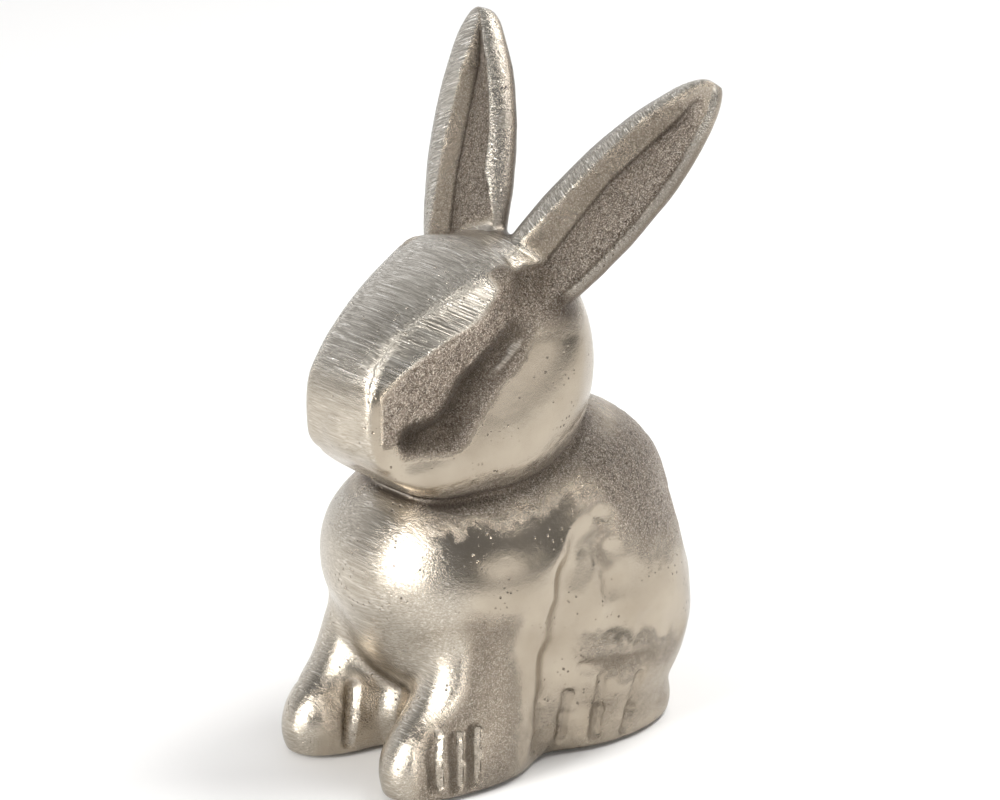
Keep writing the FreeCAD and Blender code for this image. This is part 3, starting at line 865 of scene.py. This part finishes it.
def felt(name):
    """Pressed felt with short fibres."""
    shader = Shader(name)
    fibres = shader.noise(2600.0, 4.0, 0.75)
    shader.feed(shader.surface.inputs["Base Color"], shader.blend(fibres, FELT_DARK, FELT_LIGHT))
    shader.surface.inputs["Roughness"].default_value = 0.95
    shader.tree.links.new(shader.bump(fibres, 0.0003), shader.surface.inputs["Normal"])
    return shader.material


def finish_cad_nodes():
    """Better materials on the base plate, its screws and the pads, which keep their CAD shapes."""
    finishes = {
        "base_plate": plain_metal("rolled_sheet", PLATE_DARK, PLATE_LIGHT, 0.34),
        "base_plate_screws": plain_metal("zinc_screw", SCREW_DARK, SCREW_LIGHT, 0.28),
    }
    pad = felt("pressed_felt")
    for end in ("front", "rear"):
        for side in ("left", "right"):
            finishes["%s_%s_pad" % (end, side)] = pad
    for node, material in finishes.items():
        for mesh_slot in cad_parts[node].material_slots:
            mesh_slot.material = material


# ---- Stage ---------------------------------------------------------------------------------------

# The camera's direction from the figure, its distance from the middle of the figure in metres,
# and the scale of the figure there in the 1000 pixel wide picture.
AZIMUTH = math.radians(47.0)
ELEVATION = math.radians(21.5)
DISTANCE = 1.6
TARGET = Vector((0.0, 0.0, 0.105))
PIXELS_PER_MM = 3.32
SENSOR_WIDTH = 36.0

FLOOR_SIZE = 8.0
FLOOR_COLOUR = (0.93, 0.93, 0.93, 1)
LIGHT_COLOUR = (1.0, 0.985, 0.96)
SKY_COLOUR = (0.97, 0.98, 1.0, 1)
# The way that the room gets paler, the share of it where that starts and ends, and how bright the
# room is there.
PALE_WAY = (-0.75, 0.40, -0.50)
PALE_RANGE = (-0.15, 0.45)
ROOM_BRIGHTNESS = (0.24, 1.05)
# Each soft box: its name, its place in metres, its width and height in metres, and its watts.
SOFT_BOXES = (
    ("window", (-0.08, -1.45, 0.62), (0.55, 1.10), 24.0),
    ("overhead", (0.35, 0.75, 1.6), (0.9, 0.9), 26.0),
    ("side_box", (1.35, -0.05, 0.48), (1.1, 0.6), 2.4),
)


def build_floor():
    bpy.ops.mesh.primitive_plane_add(size=FLOOR_SIZE)
    floor = bpy.context.object
    floor.name = "floor"
    shader = Shader("pale_floor")
    shader.surface.inputs["Base Color"].default_value = FLOOR_COLOUR
    shader.surface.inputs["Roughness"].default_value = 0.85
    shader.surface.inputs["Specular IOR Level"].default_value = 0.1
    floor.data.materials.append(shader.material)


def soft_box(name, place, size, power):
    """A rectangular area light that faces the figure."""
    light = bpy.data.lights.new(name, "AREA")
    light.shape = "RECTANGLE"
    light.size, light.size_y = size
    light.energy = power
    light.color = LIGHT_COLOUR
    lamp = bpy.data.objects.new(name, light)
    lamp.location = place
    lamp.rotation_euler = (TARGET - Vector(place)).to_track_quat("-Z", "Y").to_euler()
    bpy.context.scene.collection.objects.link(lamp)


def build_light():
    """A room that is pale behind the figure and dim in front of it, and the soft boxes."""
    world = bpy.data.worlds.new("studio")
    bpy.context.scene.world = world
    world.use_nodes = True
    nodes, links = world.node_tree.nodes, world.node_tree.links
    heading = nodes.new("ShaderNodeTexCoord").outputs["Generated"]
    towards_pale = nodes.new("ShaderNodeVectorMath")
    towards_pale.operation = "DOT_PRODUCT"
    links.new(heading, towards_pale.inputs[0])
    towards_pale.inputs[1].default_value = PALE_WAY
    brightness = nodes.new("ShaderNodeMapRange")
    links.new(towards_pale.outputs["Value"], brightness.inputs["Value"])
    brightness.inputs["From Min"].default_value = PALE_RANGE[0]
    brightness.inputs["From Max"].default_value = PALE_RANGE[1]
    brightness.inputs["To Min"].default_value = ROOM_BRIGHTNESS[0]
    brightness.inputs["To Max"].default_value = ROOM_BRIGHTNESS[1]
    links.new(brightness.outputs["Result"], nodes["Background"].inputs["Strength"])
    nodes["Background"].inputs["Color"].default_value = SKY_COLOUR
    for box in SOFT_BOXES:
        soft_box(*box)
    bpy.context.scene.view_settings.view_transform = "Standard"


def build_camera():
    """The camera at the photograph's angle, with the lens that gives the figure its scale."""
    back = Vector((math.sin(AZIMUTH), -math.cos(AZIMUTH), 0)) * math.cos(ELEVATION)
    back.z = math.sin(ELEVATION)
    camera = bpy.data.cameras.new("camera")
    camera.sensor_width = SENSOR_WIDTH
    # DISTANCE is in metres and the picture is 1000 pixels wide, so the two thousands cancel.
    camera.lens = SENSOR_WIDTH * DISTANCE * PIXELS_PER_MM
    camera.clip_end = 20.0
    eye = bpy.data.objects.new("camera", camera)
    eye.location = TARGET + back * DISTANCE
    eye.rotation_euler = back.to_track_quat("Z", "Y").to_euler()
    bpy.context.scene.collection.objects.link(eye)
    bpy.context.scene.camera = eye


build_pieces(nickel("raw_nickel"), nickel("dressed_weld"))
finish_cad_nodes()
build_floor()
build_light()
build_camera()
